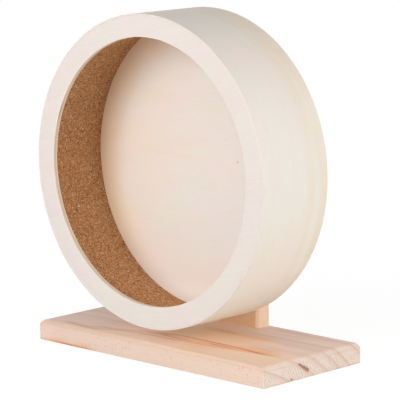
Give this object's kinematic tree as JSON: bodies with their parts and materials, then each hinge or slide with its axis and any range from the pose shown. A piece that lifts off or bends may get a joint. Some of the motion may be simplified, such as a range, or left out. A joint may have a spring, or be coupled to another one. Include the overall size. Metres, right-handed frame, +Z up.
{
  "type": "rodent exercise wheel",
  "caption": "Wooden rodent exercise wheel with a cork-lined drum, closed back and open front ring, turning on ball bearings in an upright on a flat base board.",
  "frame": {"origin": "centre of the base board's underside", "axes": "+X along the base board, +Y from the drum's open front back to the upright and along the wheel's axle, +Z up"},
  "size_m": [0.282, 0.1355, 0.311],
  "materials": {
    "pine_board": "planed pine, bare",
    "pine_upright": "planed pine, bare",
    "beech": "turned beech, bare",
    "ring_plywood": "pale sanded plywood",
    "bent_plywood": "pale bent plywood",
    "panel_plywood": "pale sanded plywood",
    "cork": "granular agglomerated cork, matt",
    "zinc_steel": "zinc plated",
    "bearing_steel": "ground and polished",
    "ball_steel": "polished",
    "pressed_steel": "pressed sheet",
    "nylon": "natural nylon"
  },
  "bodies": {
    "stand": {"base_board": "pine_board", "upright": "pine_upright", "stand_screws": "zinc_steel", "stand_dowels": "beech", "front_bearing_outer_race": "bearing_steel", "front_bearing_shields": "pressed_steel", "rear_bearing_outer_race": "bearing_steel", "rear_bearing_shields": "pressed_steel"},
    "wheel": {"front_ring": "ring_plywood", "rim_band": "bent_plywood", "cork_tread": "cork", "back_panel": "panel_plywood", "hub_block": "beech", "axle_bolt": "zinc_steel", "hub_washer": "zinc_steel", "hub_nut": "zinc_steel", "front_sleeve": "zinc_steel", "front_bearing_inner_race": "bearing_steel", "bearing_spacer": "zinc_steel", "rear_bearing_inner_race": "bearing_steel", "rear_shim": "zinc_steel", "rear_washer": "zinc_steel", "lock_nut": "zinc_steel", "lock_nut_insert": "nylon"},
    "front_cage": {"front_bearing_cage": "pressed_steel", "front_bearing_balls": "ball_steel"},
    "rear_cage": {"rear_bearing_cage": "pressed_steel", "rear_bearing_balls": "ball_steel"}
  },
  "joints": [
    {"name": "wheel_spin", "type": "hinge", "parent": "stand", "child": "wheel", "pos_m": [0, 0.052, 0.171], "axis": [0, 1, 0], "continuous": true},
    {"name": "front_cage_spin", "type": "hinge", "parent": "stand", "child": "front_cage", "pos_m": [0, 0.0475, 0.171], "axis": [0, 1, 0], "continuous": true},
    {"name": "rear_cage_spin", "type": "hinge", "parent": "stand", "child": "rear_cage", "pos_m": [0, 0.0565, 0.171], "axis": [0, 1, 0], "continuous": true}
  ],
  "couplings": [
    {"joint": "front_cage_spin", "follows": "wheel_spin", "ratio": 0.3677},
    {"joint": "rear_cage_spin", "follows": "wheel_spin", "ratio": 0.3677}
  ]
}
